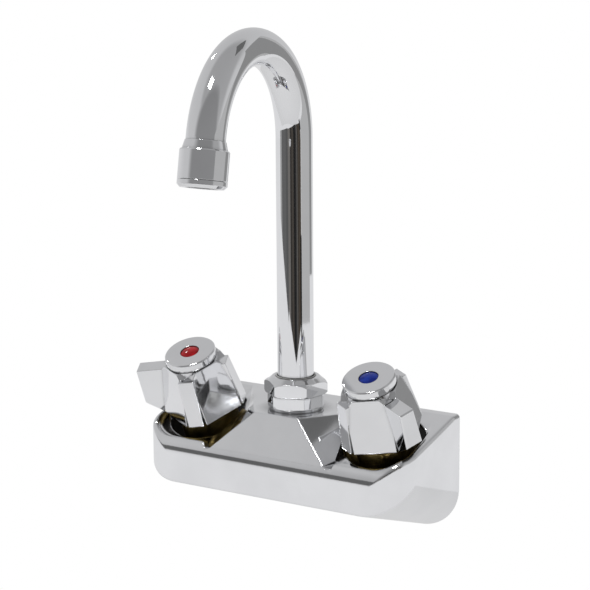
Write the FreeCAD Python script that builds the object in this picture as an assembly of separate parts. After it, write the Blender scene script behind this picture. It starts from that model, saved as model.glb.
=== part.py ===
import FreeCAD, Part
import math
import os

# Wall faucet: a chromed cover over a brass waterway, two tilted quarter-turn valves
# and a gooseneck spout that swings on a union nut.
# Frame: millimetres, +X to the user's right, +Y into the wall, +Z up.
# The origin lies on the wall plane, midway between the inlets, at their height.

# Cover
INLET_SPACING = 101.6
BODY_WIDTH = 147.8
BODY_DEPTH = 58.0
BODY_TOP = 30.0
BODY_BOTTOM = -28.0
FRONT_BOTTOM = -8.7
COVER_WALL = 2.5
BACK_CORNER_R = 21.0
FRONT_CORNER_R = 21.0
PLAN_CORNER_R = 17.0
RIM_START = 5.0
RIM_TILT = 15.0
RIM_FRONT_R = 14.0
RIM_EDGE_R = 2.0
END_WALL = 2.8
LIP_WALL = 1.5
HUMP_NOSE_DEPTH = 47.5
HUMP_NOSE_HALF_WIDTH = 12.2
HUMP_SPREAD = 55.0
HUMP_SIDE_SLOPE = 40.8
HUMP_FRONT_SLOPE = 64.2
HUMP_EDGE_R = 0.7
WELL_CORNER_R = 5.5
COVER_BORE_GAP = 0.4

# Valves, measured along each valve's axis from the height of the inlets
VALVE_TILT = 24.04
VALVE_DEPTH = 21.93
FLOOR_RISE = 22.0
VALVE_HOLE_R = 19.8
BARREL_R = 14.5
BARREL_TOP = 26.0
BARREL_BOTTOM = -11.0
BARREL_END_R = 9.0
CHAMBER_R = 8.0
CHAMBER_BOTTOM = -8.0
SEAT_LAND_BOTTOM = 2.0
SEAT_LAND_TOP = 3.0
SEAT_HOLE_R = 5.2
CAVITY_R = 10.0
GLAND_BORE_R = 12.0
GLAND_BORE_BOTTOM = 18.0
FIT_GAP = 0.05
CLEAR_GAP = 0.35

# Cartridge
SEAL_R = 8.5
SEAL_THICKNESS = 1.5
DISC_R = 7.6
DISC_THICKNESS = 3.0
DISC_FILM = 0.04
DISC_PORT_R = 2.3
DISC_PORT_OFFSET = 4.4
CARTRIDGE_CHAMBER_R = 8.0
CARTRIDGE_FLANGE_R = 11.6
CARTRIDGE_FLANGE = 2.5
CARTRIDGE_NECK_R = 6.9
CARTRIDGE_NECK_TOP = 35.8
WINDOW_WIDTH = 7.0
WINDOW_HEIGHT = 3.5
STEM_R = 4.0
STEM_FOOT_R = 7.5
STEM_FOOT = 2.5
STEM_FLAT = 3.0
STEM_FLAT_LENGTH = 10.5
STEM_RING_R = 0.55
STEM_RING_HEIGHT = 24.0
GLAND_HEX = 23.0
GLAND_HEAD = 5.0

# Handle, measured down from its top face along the valve's axis
HANDLE_TOP = 60.2
CAP_R = 12.62
CAP_BAND = 3.7
CAP_EDGE_R = 0.5
CAP_GROOVE = 0.4
CAP_GROOVE_WIDTH = 0.6
SKIRT_DEPTH = 31.0
HUB_R = 17.0
LOBE_FACE_TOP_R = 13.0
LOBE_FACE_R = 17.8
LOBE_HALF_WIDTH = 10.2
LOBE_TOP_HALF_WIDTH = 6.3
LOBE_SHOULDER = 8.0
RIB_HALF_WIDTH = 3.8
RIB_TOP = 6.7
RIB_TOP_R = 17.3
RIB_R = 20.6
BLADE_R = 29.0
BLADE_TOP_HALF_WIDTH = 3.65
BLADE_HALF_WIDTH = 4.65
BLADE_TIP_BOTTOM = 25.0
BLADE_EDGE_R = 0.8
HANDLE_CAVITY_R = 14.6
HANDLE_CAVITY_TOP_R = 10.4
HANDLE_CAVITY_DEPTH = 13.5
HANDLE_BOSS_R = 7.5
HANDLE_BOSS_BOTTOM = 23.5
HANDLE_WEB_BOTTOM = 14.2
HANDLE_WEB = 2.3
BUTTON_R = 4.75
BUTTON_RECESS = 3.0
BUTTON_DOME = 1.0
SCREW_HEAD_R = 3.8
SCREW_HEAD = 2.4
SCREW_R = 2.0
SCREW_LENGTH = 10.0
SCREW_DRIVE_WIDTH = 1.0
SCREW_DRIVE_DEPTH = 1.2
HOT_BLADE_ANGLE = -70.0
COLD_BLADE_ANGLE = 63.0

# Waterway
CROSSBAR_HEIGHT = 8.5
CROSSBAR_R = 8.0
CROSSBAR_BORE_R = 5.0
TOWER_R = 13.0
TOWER_THREAD_DEPTH = 11.5
INLET_BOSS_R = 13.2
INLET_BOSS_BACK = 0.5
INLET_THREAD_R = 10.48
INLET_THREAD_DEPTH = 12.0
INLET_BORE_R = 6.5
BLOCK_HALF_WIDTH = 11.0
BLOCK_BOTTOM = -14.0
BLOCK_TOP = 16.0
BLOCK_CORNER_R = 4.0

# Spout foot, heights above the cover's top
SPOUT_DEPTH = 29.7
SOCKET_THREAD_R = 11.3
SOCKET_THREAD_LENGTH = 11.0
SOCKET_BASE_R = 13.3
SOCKET_BASE = 1.4
SOCKET_HEX = 26.0
SOCKET_HEX_R = 13.65
SOCKET_HEX_TOP = 7.4
SOCKET_NECK_R = 12.0
SOCKET_NECK_TOP = 12.0
SOCKET_BORE_R = 10.3
SOCKET_BORE_BOTTOM = 2.0
SOCKET_PORT_R = 7.0
NUT_HEX = 27.0
NUT_BOTTOM = 7.6
NUT_SHOULDER = 13.6
NUT_TOP = 16.0
NUT_TOP_R = 11.35
NUT_LIP_BOTTOM = 14.3
NUT_HOLE_R = 9.75
NUT_CORNER_CHAMFER = 0.9
HEX_TURN = 22.0
SLIP_RING_R = 11.6
SLIP_RING_BORE_R = 9.05
SLIP_RING_THICKNESS = 0.9
SLIP_RING_COLLAR_R = 9.65
SLIP_RING_RISE = 0.4

# Spout
TUBE_R = 8.75
TUBE_WALL = 1.3
TUBE_FOOT = 4.0
RISER_TOP = 131.5
BEND_R = 45.5
BEND_ANGLE = 167.7
OUTLET_STRAIGHT = 4.9
TUBE_IN_OUTLET = 2.0
SPOUT_SWING = 7.9
BUSHING_FOOT = 2.6
BUSHING_COLLAR_R = 11.2
BUSHING_COLLAR = 1.2
BUSHING_PORT_R = 7.2
BUSHING_GROOVE_R = 9.35
BUSHING_RING_R = 0.45
BUSHING_RING_HEIGHTS = (5.5, 8.5)

# Outlet, measured along its axis from the shoulder where the housing is widest
OUTLET_R = 11.0
FLARE_LENGTH = 3.9
FLARE_START_R = 9.05
FLARE_R = 10.1
OUTLET_LENGTH = 16.7
OUTLET_THREAD_R = 9.6
AERATOR_BAND = 3.5
AERATOR_CHAMFER = 1.3
AERATOR_JOINT_GAP = 0.25
AERATOR_SLEEVE_TOP = 5.0
AERATOR_BORE_R = 8.2
AERATOR_LIP_R = 7.3
AERATOR_LIP = 1.2
INSERT_HUB_R = 2.2
INSERT_RIM = 1.0
INSERT_RIB = 1.0
INSERT_RIB_COUNT = 8
INSERT_LENGTH = 7.5
SCREEN_R = 7.9
SCREEN_THICKNESS = 0.5
SCREEN_HOLE = 1.4
SCREEN_PITCH = 2.0
SCREEN_FIELD_R = 6.6
WASHER_THICKNESS = 1.6
WASHER_BORE_R = 6.6

UP = FreeCAD.Vector(0, 0, 1)
BACK = FreeCAD.Vector(0, 1, 0)
RIGHT = FreeCAD.Vector(1, 0, 0)
CENTRE = FreeCAD.Vector(0, 0, 0)
FAR = 400.0
OVERRUN = 1.0
SIDES = (("hot", -1, HOT_BLADE_ANGLE), ("cold", 1, COLD_BLADE_ANGLE))
TILT = math.radians(VALVE_TILT)
VALVE_AXIS = FreeCAD.Vector(0, -math.sin(TILT), math.cos(TILT))
SPOUT_FOOT = FreeCAD.Vector(0, -SPOUT_DEPTH, BODY_TOP)
FLOOR_POINT = FreeCAD.Vector(0, -VALVE_DEPTH, 0) + VALVE_AXIS * FLOOR_RISE
SEAL_TOP = SEAT_LAND_TOP + SEAL_THICKNESS
LOWER_DISC_TOP = SEAL_TOP + DISC_THICKNESS
UPPER_DISC_TOP = LOWER_DISC_TOP + DISC_THICKNESS
STEM_FOOT_TOP = UPPER_DISC_TOP + STEM_FOOT
STEM_TOP = HANDLE_TOP - HANDLE_WEB_BOTTOM
CARTRIDGE_FLANGE_TOP = GLAND_BORE_BOTTOM + CARTRIDGE_FLANGE
WEB_TOP = HANDLE_TOP - HANDLE_WEB_BOTTOM + HANDLE_WEB


def vec(x, y, z):
    return FreeCAD.Vector(x, y, z)


def face_of(points):
    """Flat face through points; a point given as (middle, end) is the end of an arc."""
    edges = []
    start = points[0]
    for item in points[1:] + [points[0]]:
        if isinstance(item, tuple):
            middle, end = item
            edges.append(Part.Arc(start, middle, end).toShape())
        else:
            end = item
            edges.append(Part.LineSegment(start, end).toShape())
        start = end
    return Part.Face(Part.Wire(edges))


def turned(points):
    """Solid of revolution about Z from an outline of (radius, height) pairs."""
    outline = [vec(radius, 0, height) for radius, height in points]
    return face_of(outline).revolve(CENTRE, UP, 360)


def rod(radius, low, high):
    return Part.makeCylinder(radius, high - low, vec(0, 0, low))


def ring(outer, inner, low, high):
    return rod(outer, low, high).cut(rod(inner, low - OVERRUN, high + OVERRUN))


def slab(half_x, half_y, low, high):
    return Part.makeBox(2 * half_x, 2 * half_y, high - low, vec(-half_x, -half_y, low))


def hexagon(across_flats, low, high, turn=0.0):
    """Hexagonal prism with one flat turned by an angle from straight ahead."""
    corner = across_flats / math.sqrt(3)
    angles = [math.radians(60 * k + turn) for k in range(6)]
    points = [vec(corner * math.cos(a), corner * math.sin(a), low) for a in angles]
    return face_of(points).extrude(UP * (high - low))


def half_space(point, normal):
    """Block that fills the side of a plane that its outward normal points away from."""
    block = Part.makeBox(2 * FAR, 2 * FAR, FAR, vec(-FAR, -FAR, -FAR))
    block.Placement = FreeCAD.Placement(point, FreeCAD.Rotation(UP, normal))
    return block


def placed(shape, placement):
    result = shape.copy()
    result.Placement = placement.multiply(result.Placement)
    return result


def along_valve(shape, side):
    """Moves a shape modelled about Z onto the valve axis of one side, -1 hot or 1 cold."""
    foot = vec(side * INLET_SPACING / 2, -VALVE_DEPTH, 0)
    return placed(shape, FreeCAD.Placement(foot, FreeCAD.Rotation(RIGHT, VALVE_TILT)))


def on_spout_foot(shape):
    return placed(shape, FreeCAD.Placement(SPOUT_FOOT, FreeCAD.Rotation()))


def on_spout(shape):
    """Places a shape of the swinging spout, modelled straight ahead above its foot."""
    return placed(shape, FreeCAD.Placement(SPOUT_FOOT, FreeCAD.Rotation(UP, SPOUT_SWING)))


def on_outlet(shape):
    """Places a shape modelled about Z, flowing upwards, on the end of the spout."""
    angle = math.radians(BEND_ANGLE)
    flow = vec(0, -math.sin(angle), math.cos(angle))
    bend_end = vec(0, BEND_R * (math.cos(angle) - 1), RISER_TOP + BEND_R * math.sin(angle))
    shoulder = bend_end + flow * OUTLET_STRAIGHT
    turn = FreeCAD.Rotation(RIGHT, BEND_ANGLE)
    return on_spout(placed(shape, FreeCAD.Placement(shoulder, turn)))


# Cover

def section_at(depth, inset):
    """Outline of the cover across X and Z at a depth in front of the wall."""
    share = depth / BODY_DEPTH
    slope = math.atan2(FRONT_BOTTOM - BODY_BOTTOM, BODY_DEPTH)
    half = BODY_WIDTH / 2 - inset
    low = BODY_BOTTOM + (FRONT_BOTTOM - BODY_BOTTOM) * share + inset / math.cos(slope)
    radius = BACK_CORNER_R + (FRONT_CORNER_R - BACK_CORNER_R) * share - inset
    bow = radius * (1 - math.sqrt(0.5))
    return face_of([
        vec(-half, -depth, BODY_TOP),
        vec(-half, -depth, low + radius),
        (vec(-half + bow, -depth, low + bow), vec(-half + radius, -depth, low)),
        vec(half - radius, -depth, low),
        (vec(half - bow, -depth, low + bow), vec(half, -depth, low + radius)),
        vec(half, -depth, BODY_TOP),
    ]).OuterWire


def plan_block(side_inset, front_inset, radius):
    """Vertical block with the cover's outline seen from above."""
    half = BODY_WIDTH / 2 - side_inset
    front = -BODY_DEPTH + front_inset
    bow = radius * (1 - math.sqrt(0.5))
    outline = face_of([
        vec(-half, BODY_DEPTH, 0),
        vec(-half, front + radius, 0),
        (vec(-half + bow, front + bow, 0), vec(-half + radius, front, 0)),
        vec(half - radius, front, 0),
        (vec(half - bow, front + bow, 0), vec(half, front + radius, 0)),
        vec(half, BODY_DEPTH, 0),
    ])
    outline.translate(vec(0, 0, -FAR / 2))
    return outline.extrude(UP * FAR)


def rim_block(inset):
    """Block below the rim: flat at the wall, sloping forward, rounded at the front."""
    tilt = math.radians(RIM_TILT)
    top = BODY_TOP - inset
    front = -BODY_DEPTH + inset
    radius = RIM_FRONT_R - inset
    bend = -RIM_START - inset * math.tan(tilt / 2)
    centre_y = front + radius
    centre_z = top + math.tan(tilt) * (centre_y - bend) - radius / math.cos(tilt)
    middle = (math.pi / 2 + tilt) / 2

    def on_arc(angle):
        return vec(0, centre_y - radius * math.sin(angle), centre_z + radius * math.cos(angle))

    outline = face_of([
        vec(0, BODY_DEPTH, -FAR / 2),
        vec(0, BODY_DEPTH, top),
        vec(0, bend, top),
        on_arc(tilt),
        (on_arc(middle), on_arc(math.pi / 2)),
        vec(0, front, -FAR / 2),
    ])
    outline.translate(RIGHT * -FAR)
    return outline.extrude(RIGHT * (2 * FAR))


def hump_block(inset):
    """Central hump: a nose facet at the front and two facets that spread to the wall."""
    front = math.radians(HUMP_FRONT_SLOPE)
    side = math.radians(HUMP_SIDE_SLOPE)
    spread = math.radians(HUMP_SPREAD)
    nose = vec(0, -HUMP_NOSE_DEPTH, BODY_TOP)
    planes = [(nose, vec(0, -math.sin(front), math.cos(front))), (vec(0, 0, BODY_TOP), UP)]
    for hand in (-1, 1):
        corner = vec(hand * HUMP_NOSE_HALF_WIDTH, -HUMP_NOSE_DEPTH, BODY_TOP)
        outward = vec(
            hand * math.sin(side) * math.sin(spread),
            -math.sin(side) * math.cos(spread),
            math.cos(side),
        )
        planes.append((corner, outward))
    block = slab(BODY_WIDTH, 2 * BODY_DEPTH, -BODY_DEPTH, BODY_DEPTH)
    for point, normal in planes:
        block = block.common(half_space(point - normal * inset, normal))
    return block


def rounded_hump():
    block = hump_block(0)
    sharp = [edge for edge in block.Edges if edge.BoundBox.ZMax > BODY_TOP - HUMP_EDGE_R
             and edge.BoundBox.YMin < -1 and edge.BoundBox.YMax < BODY_DEPTH * 3]
    return block.makeFillet(HUMP_EDGE_R, sharp)


def hull(inset, back):
    """Cover without its hump: lofted underside, rounded plan and sloping rim."""
    front = BODY_DEPTH - inset
    body = Part.makeLoft([section_at(-back, inset), section_at(front, inset)], True, True)
    return body.common(plan_block(inset, inset, PLAN_CORNER_R - inset))


def cover_outside():
    base = hull(0, 0)
    low = base.common(rim_block(0))
    soft = round_edges(low, RIM_EDGE_R, is_rim_side)
    behind_lip = half_space(vec(0, LIP_WALL - BODY_DEPTH, 0), BACK * -1)
    hump = rounded_hump().common(base).common(behind_lip)
    return soft.fuse(hump).removeSplitter()


def round_edges(shape, radius, wanted):
    return shape.makeFillet(radius, [edge for edge in shape.Edges if wanted(edge)])


def is_rim_side(edge):
    """True for the rim's outer edges at both ends and round the front corners."""
    box = edge.BoundBox
    reach = max(abs(box.XMin), abs(box.XMax))
    high = box.ZMax > BODY_TOP - COVER_WALL * 10 and box.ZMin > 0
    return high and box.XLength < 20 and reach > BODY_WIDTH / 3 and box.YLength > 1


def is_floor_corner(edge):
    """True for edges of the sunk floors, apart from the straight one along the wall."""
    ends = (edge.Vertexes[0].Point, edge.Vertexes[-1].Point)
    on_floor = all(abs((end - FLOOR_POINT).dot(VALVE_AXIS)) < 0.001 for end in ends)
    return on_floor and edge.BoundBox.ZMin < BODY_TOP - 1


def well_space():
    """Air above the sunk floors, between the end walls, the lip and the hump."""
    space = plan_block(END_WALL, LIP_WALL, PLAN_CORNER_R - END_WALL)
    space = space.cut(half_space(FLOOR_POINT, VALVE_AXIS))
    space = space.cut(hump_block(0))
    return round_edges(space, WELL_CORNER_R, is_floor_corner)


def make_body_shroud():
    cover = cover_outside().cut(well_space())
    under_floor = half_space(FLOOR_POINT - VALVE_AXIS * COVER_WALL, VALVE_AXIS)
    room = hull(COVER_WALL, OVERRUN)
    low_room = room.common(rim_block(COVER_WALL)).common(under_floor)
    cover = cover.cut(low_room).cut(room.common(hump_block(COVER_WALL)))
    for name, side, angle in SIDES:
        cover = cover.cut(along_valve(rod(VALVE_HOLE_R, 0, HANDLE_TOP), side))
    bore = rod(SOCKET_THREAD_R + COVER_BORE_GAP, -BODY_DEPTH / 2, BODY_DEPTH)
    return cover.cut(on_spout_foot(bore))


# Waterway

def valve_bores(side):
    barrel = rod(CHAMBER_R, CHAMBER_BOTTOM, SEAT_LAND_BOTTOM)
    barrel = barrel.fuse(rod(SEAT_HOLE_R, CHAMBER_BOTTOM, CAVITY_R))
    barrel = barrel.fuse(rod(CAVITY_R, SEAT_LAND_TOP, BARREL_TOP))
    barrel = barrel.fuse(rod(GLAND_BORE_R, GLAND_BORE_BOTTOM, BARREL_TOP + OVERRUN))
    foot = vec(side * INLET_SPACING / 2, -VALVE_DEPTH, 0)
    thread_foot = vec(side * INLET_SPACING / 2, -INLET_THREAD_DEPTH - INLET_BOSS_BACK, 0)
    inlet = Part.makeCylinder(INLET_BORE_R, VALVE_DEPTH, foot, BACK)
    thread = Part.makeCylinder(INLET_THREAD_R, VALVE_DEPTH, thread_foot, BACK)
    return along_valve(barrel, side).fuse(inlet).fuse(thread)


def wall_block():
    """Rectangular block behind the spout that ends in the pad on the wall."""
    height = BLOCK_TOP - BLOCK_BOTTOM
    corner = vec(-BLOCK_HALF_WIDTH, -SPOUT_DEPTH, BLOCK_BOTTOM)
    block = Part.makeBox(2 * BLOCK_HALF_WIDTH, SPOUT_DEPTH, height, corner)
    return round_edges(block, BLOCK_CORNER_R, lambda edge: edge.BoundBox.YLength > 1)


def crossbar(radius, half_length):
    start = vec(-half_length, -SPOUT_DEPTH, CROSSBAR_HEIGHT)
    return Part.makeCylinder(radius, 2 * half_length, start, RIGHT)


def barrel_outside():
    cone_top = BARREL_BOTTOM + BARREL_R - BARREL_END_R
    return turned([(0, BARREL_BOTTOM), (BARREL_END_R, BARREL_BOTTOM), (BARREL_R, cone_top),
                   (BARREL_R, BARREL_TOP), (0, BARREL_TOP)])


def make_waterway():
    body = crossbar(CROSSBAR_R, INLET_SPACING / 2).fuse(wall_block())
    tower_top = -COVER_WALL
    tower_foot = CROSSBAR_HEIGHT - BODY_TOP
    body = body.fuse(on_spout_foot(rod(TOWER_R, tower_foot, tower_top)))
    for name, side, angle in SIDES:
        body = body.fuse(along_valve(barrel_outside(), side))
        start = vec(side * INLET_SPACING / 2, -VALVE_DEPTH, 0)
        length = VALVE_DEPTH - INLET_BOSS_BACK
        body = body.fuse(Part.makeCylinder(INLET_BOSS_R, length, start, BACK))
    thread_low = tower_top - TOWER_THREAD_DEPTH
    body = body.cut(crossbar(CROSSBAR_BORE_R, INLET_SPACING / 2))
    body = body.cut(on_spout_foot(rod(SOCKET_THREAD_R + FIT_GAP, thread_low, 0)))
    body = body.cut(on_spout_foot(rod(SOCKET_PORT_R, tower_foot, thread_low + OVERRUN)))
    for name, side, angle in SIDES:
        body = body.cut(valve_bores(side))
    return body.removeSplitter()


# Spout foot

def make_spout_socket():
    body = rod(SOCKET_THREAD_R, -SOCKET_THREAD_LENGTH, SOCKET_BASE)
    body = body.fuse(rod(SOCKET_BASE_R, 0, SOCKET_BASE))
    wrench = hexagon(SOCKET_HEX, SOCKET_BASE, SOCKET_HEX_TOP, HEX_TURN)
    body = body.fuse(wrench.common(rod(SOCKET_HEX_R, SOCKET_BASE, SOCKET_HEX_TOP)))
    body = body.fuse(rod(SOCKET_NECK_R, SOCKET_HEX_TOP, SOCKET_NECK_TOP))
    body = body.cut(rod(SOCKET_BORE_R, SOCKET_BORE_BOTTOM, SOCKET_NECK_TOP + OVERRUN))
    body = body.cut(rod(SOCKET_PORT_R, -SOCKET_THREAD_LENGTH - OVERRUN, SOCKET_NECK_TOP))
    return on_spout_foot(body.removeSplitter())


def make_spout_nut():
    corner = NUT_HEX / math.sqrt(3)
    chamfer = NUT_CORNER_CHAMFER
    crown = turned([(0, NUT_BOTTOM), (corner - chamfer, NUT_BOTTOM),
                    (corner, NUT_BOTTOM + chamfer), (corner, NUT_SHOULDER - chamfer),
                    (corner - chamfer, NUT_SHOULDER), (NUT_HEX / 2, NUT_SHOULDER + 0.5),
                    (NUT_TOP_R + 0.5, NUT_TOP - 0.4), (NUT_TOP_R, NUT_TOP), (0, NUT_TOP)])
    nut = hexagon(NUT_HEX, NUT_BOTTOM, NUT_TOP, HEX_TURN).common(crown)
    nut = nut.cut(rod(SOCKET_NECK_R + FIT_GAP, NUT_BOTTOM - OVERRUN, NUT_LIP_BOTTOM))
    return on_spout_foot(nut.cut(rod(NUT_HOLE_R, NUT_BOTTOM, NUT_TOP + OVERRUN)))


def make_spout_slip_ring():
    low = NUT_LIP_BOTTOM - SLIP_RING_THICKNESS
    high = NUT_TOP + SLIP_RING_RISE
    body = rod(SLIP_RING_R, low, NUT_LIP_BOTTOM).fuse(rod(SLIP_RING_COLLAR_R, low, high))
    body = body.cut(rod(SLIP_RING_BORE_R, low - OVERRUN, high + OVERRUN))
    return on_spout_foot(body.removeSplitter())


# Spout

def gooseneck(radius, foot, ending):
    """Round rod along the spout's centre line, straight ahead, up from its foot."""
    riser = rod(radius, foot, RISER_TOP)
    disc = Part.Face(Part.Wire(Part.makeCircle(radius, vec(0, 0, RISER_TOP), UP)))
    bend = disc.revolve(vec(0, -BEND_R, RISER_TOP), RIGHT, BEND_ANGLE)
    angle = math.radians(BEND_ANGLE)
    flow = vec(0, -math.sin(angle), math.cos(angle))
    end = vec(0, BEND_R * (math.cos(angle) - 1), RISER_TOP + BEND_R * math.sin(angle))
    outlet = Part.makeCylinder(radius, ending, end, flow)
    return riser.fuse(bend).fuse(outlet).removeSplitter()


def make_spout_tube():
    ending = OUTLET_STRAIGHT + TUBE_IN_OUTLET
    outside = gooseneck(TUBE_R, TUBE_FOOT, ending)
    bore = gooseneck(TUBE_R - TUBE_WALL, TUBE_FOOT - OVERRUN, ending + OVERRUN)
    return on_spout(outside.cut(bore))


def make_spout_bushing():
    outer = SOCKET_BORE_R - FIT_GAP
    top = SOCKET_NECK_TOP + BUSHING_COLLAR
    body = rod(outer, BUSHING_FOOT, top).fuse(rod(BUSHING_COLLAR_R, SOCKET_NECK_TOP, top))
    body = body.cut(rod(TUBE_R + FIT_GAP, TUBE_FOOT, top + OVERRUN))
    body = body.cut(rod(BUSHING_PORT_R, BUSHING_FOOT - OVERRUN, TUBE_FOOT + OVERRUN))
    for height in BUSHING_RING_HEIGHTS:
        low = height - BUSHING_RING_R - FIT_GAP
        high = height + BUSHING_RING_R + FIT_GAP
        body = body.cut(ring(outer + OVERRUN, BUSHING_GROOVE_R, low, high))
    return on_spout(body.removeSplitter())


def make_spout_o_rings():
    middle = SOCKET_BORE_R - FIT_GAP - BUSHING_RING_R
    rings = [Part.makeTorus(middle, BUSHING_RING_R, vec(0, 0, height), UP)
             for height in BUSHING_RING_HEIGHTS]
    return Part.makeCompound([on_spout(item) for item in rings])


# Outlet

def make_aerator_housing():
    end = OUTLET_LENGTH - AERATOR_BAND
    body = turned([(0, -FLARE_LENGTH), (FLARE_START_R, -FLARE_LENGTH), (FLARE_R, 0),
                   (OUTLET_R - 0.4, 0), (OUTLET_R, 0.5), (OUTLET_R, end), (0, end)])
    body = body.cut(rod(TUBE_R + FIT_GAP, -FLARE_LENGTH - OVERRUN, TUBE_IN_OUTLET))
    body = body.cut(rod(OUTLET_THREAD_R, TUBE_IN_OUTLET, end + OVERRUN))
    return on_outlet(body)


def make_aerator_washer():
    outer = OUTLET_THREAD_R - FIT_GAP
    return on_outlet(ring(outer, WASHER_BORE_R, TUBE_IN_OUTLET,
                          TUBE_IN_OUTLET + WASHER_THICKNESS))


def make_aerator_ring():
    start = OUTLET_LENGTH - AERATOR_BAND + AERATOR_JOINT_GAP
    end = OUTLET_LENGTH
    sleeve = OUTLET_THREAD_R - FIT_GAP
    body = turned([(0, AERATOR_SLEEVE_TOP), (sleeve, AERATOR_SLEEVE_TOP), (sleeve, start),
                   (OUTLET_R, start), (OUTLET_R, end - AERATOR_CHAMFER),
                   (OUTLET_R - AERATOR_CHAMFER, end), (0, end)])
    body = body.cut(rod(AERATOR_BORE_R, AERATOR_SLEEVE_TOP - OVERRUN, end - AERATOR_LIP))
    return on_outlet(body.cut(rod(AERATOR_LIP_R, 0, end + OVERRUN)))


def make_aerator_insert():
    high = OUTLET_LENGTH - AERATOR_LIP
    low = high - INSERT_LENGTH
    outer = AERATOR_BORE_R - FIT_GAP
    body = ring(outer, outer - INSERT_RIM, low, high).fuse(rod(INSERT_HUB_R, low, high))
    for k in range(INSERT_RIB_COUNT):
        rib = Part.makeBox(outer - INSERT_RIM / 2, INSERT_RIB, INSERT_LENGTH, vec(0, -INSERT_RIB / 2, low))
        rib.rotate(CENTRE, UP, 360 * k / INSERT_RIB_COUNT)
        body = body.fuse(rib)
    return on_outlet(body.removeSplitter())


def make_aerator_screen():
    high = OUTLET_LENGTH - AERATOR_LIP - INSERT_LENGTH
    low = high - SCREEN_THICKNESS
    steps = int(SCREEN_FIELD_R / SCREEN_PITCH)
    centres = [(a * SCREEN_PITCH, b * SCREEN_PITCH) for a in range(-steps, steps + 1)
               for b in range(-steps, steps + 1)]
    half = SCREEN_HOLE / 2
    holes = [Part.makeBox(SCREEN_HOLE, SCREEN_HOLE, SCREEN_THICKNESS + 2 * OVERRUN,
                          vec(x - half, y - half, low - OVERRUN))
             for x, y in centres if math.hypot(x, y) < SCREEN_FIELD_R]
    return on_outlet(rod(SCREEN_R, low, high).cut(Part.makeCompound(holes)))


# Cartridge

def make_seat_seal(side):
    return along_valve(ring(SEAL_R, SEAT_HOLE_R + CLEAR_GAP, SEAT_LAND_TOP, SEAL_TOP), side)


def ported_disc(low, high, turn):
    disc = rod(DISC_R, low, high)
    for end in (-1, 1):
        port = rod(DISC_PORT_R, low - OVERRUN, high + OVERRUN)
        port.translate(vec(end * DISC_PORT_OFFSET, 0, 0))
        disc = disc.cut(port)
    disc.rotate(CENTRE, UP, turn)
    return disc


def make_fixed_disc(side):
    return along_valve(ported_disc(SEAL_TOP, LOWER_DISC_TOP, 0), side)


def make_moving_disc(side):
    return along_valve(ported_disc(LOWER_DISC_TOP + DISC_FILM, UPPER_DISC_TOP, 90), side)


def make_cartridge_body(side):
    chamber_top = STEM_FOOT_TOP + CLEAR_GAP
    outer = CAVITY_R - FIT_GAP
    body = rod(outer, SEAL_TOP, GLAND_BORE_BOTTOM)
    body = body.fuse(rod(CARTRIDGE_FLANGE_R, GLAND_BORE_BOTTOM, CARTRIDGE_FLANGE_TOP))
    body = body.fuse(rod(CARTRIDGE_NECK_R, CARTRIDGE_FLANGE_TOP, CARTRIDGE_NECK_TOP))
    body = body.cut(rod(CARTRIDGE_CHAMBER_R, SEAL_TOP - OVERRUN, chamber_top))
    body = body.cut(rod(STEM_R + FIT_GAP, SEAL_TOP, CARTRIDGE_NECK_TOP + OVERRUN))
    low = UPPER_DISC_TOP - WINDOW_HEIGHT
    body = body.cut(slab(2 * CAVITY_R, WINDOW_WIDTH / 2, low, UPPER_DISC_TOP))
    return along_valve(body.removeSplitter(), side)


def make_stem(side, angle):
    body = rod(STEM_FOOT_R, UPPER_DISC_TOP, STEM_FOOT_TOP).fuse(rod(STEM_R, STEM_FOOT_TOP, STEM_TOP))
    flat = slab(STEM_R, STEM_R, STEM_TOP - STEM_FLAT_LENGTH, STEM_TOP + OVERRUN)
    flat.translate(vec(0, -STEM_FLAT - STEM_R, 0))
    body = body.cut(flat)
    low = STEM_RING_HEIGHT - STEM_RING_R - FIT_GAP
    high = STEM_RING_HEIGHT + STEM_RING_R + FIT_GAP
    body = body.cut(ring(STEM_R + OVERRUN, STEM_R - 2 * STEM_RING_R - FIT_GAP, low, high))
    body = body.cut(rod(SCREW_R + FIT_GAP, WEB_TOP - SCREW_LENGTH - OVERRUN, STEM_TOP + OVERRUN))
    body.rotate(CENTRE, UP, angle)
    return along_valve(body.removeSplitter(), side)


def make_stem_o_ring(side):
    middle = STEM_R - STEM_RING_R
    body = Part.makeTorus(middle, STEM_RING_R, vec(0, 0, STEM_RING_HEIGHT), UP)
    return along_valve(body, side)


def make_bonnet_nut(side):
    low = CARTRIDGE_FLANGE_TOP
    top = BARREL_TOP + GLAND_HEAD
    corner = GLAND_HEX / math.sqrt(3)
    crown = turned([(0, low), (GLAND_BORE_R - FIT_GAP, low), (GLAND_BORE_R - FIT_GAP, BARREL_TOP),
                    (corner, BARREL_TOP), (corner, top - 0.8), (corner - 1.2, top), (0, top)])
    head = hexagon(GLAND_HEX, BARREL_TOP, top).common(crown)
    body = head.fuse(rod(GLAND_BORE_R - FIT_GAP, low, BARREL_TOP))
    body = body.cut(rod(CARTRIDGE_NECK_R + FIT_GAP, low - OVERRUN, top + OVERRUN))
    return along_valve(body.removeSplitter(), side)


# Handle, modelled about Z with its top face at height zero and its blade towards -Y

def tapered_block(half_width, low_half_width, reach, top, low_reach):
    """Block from the axis towards -Y that grows wider and longer towards the skirt."""
    bottom = -SKIRT_DEPTH
    upper = face_of([vec(-half_width, 0, -top), vec(half_width, 0, -top),
                     vec(half_width, -reach, -top), vec(-half_width, -reach, -top)])
    lower = face_of([vec(-low_half_width, 0, bottom), vec(low_half_width, 0, bottom),
                     vec(low_half_width, -low_reach, bottom),
                     vec(-low_half_width, -low_reach, bottom)])
    return Part.makeLoft([upper.OuterWire, lower.OuterWire], True, True)


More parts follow.
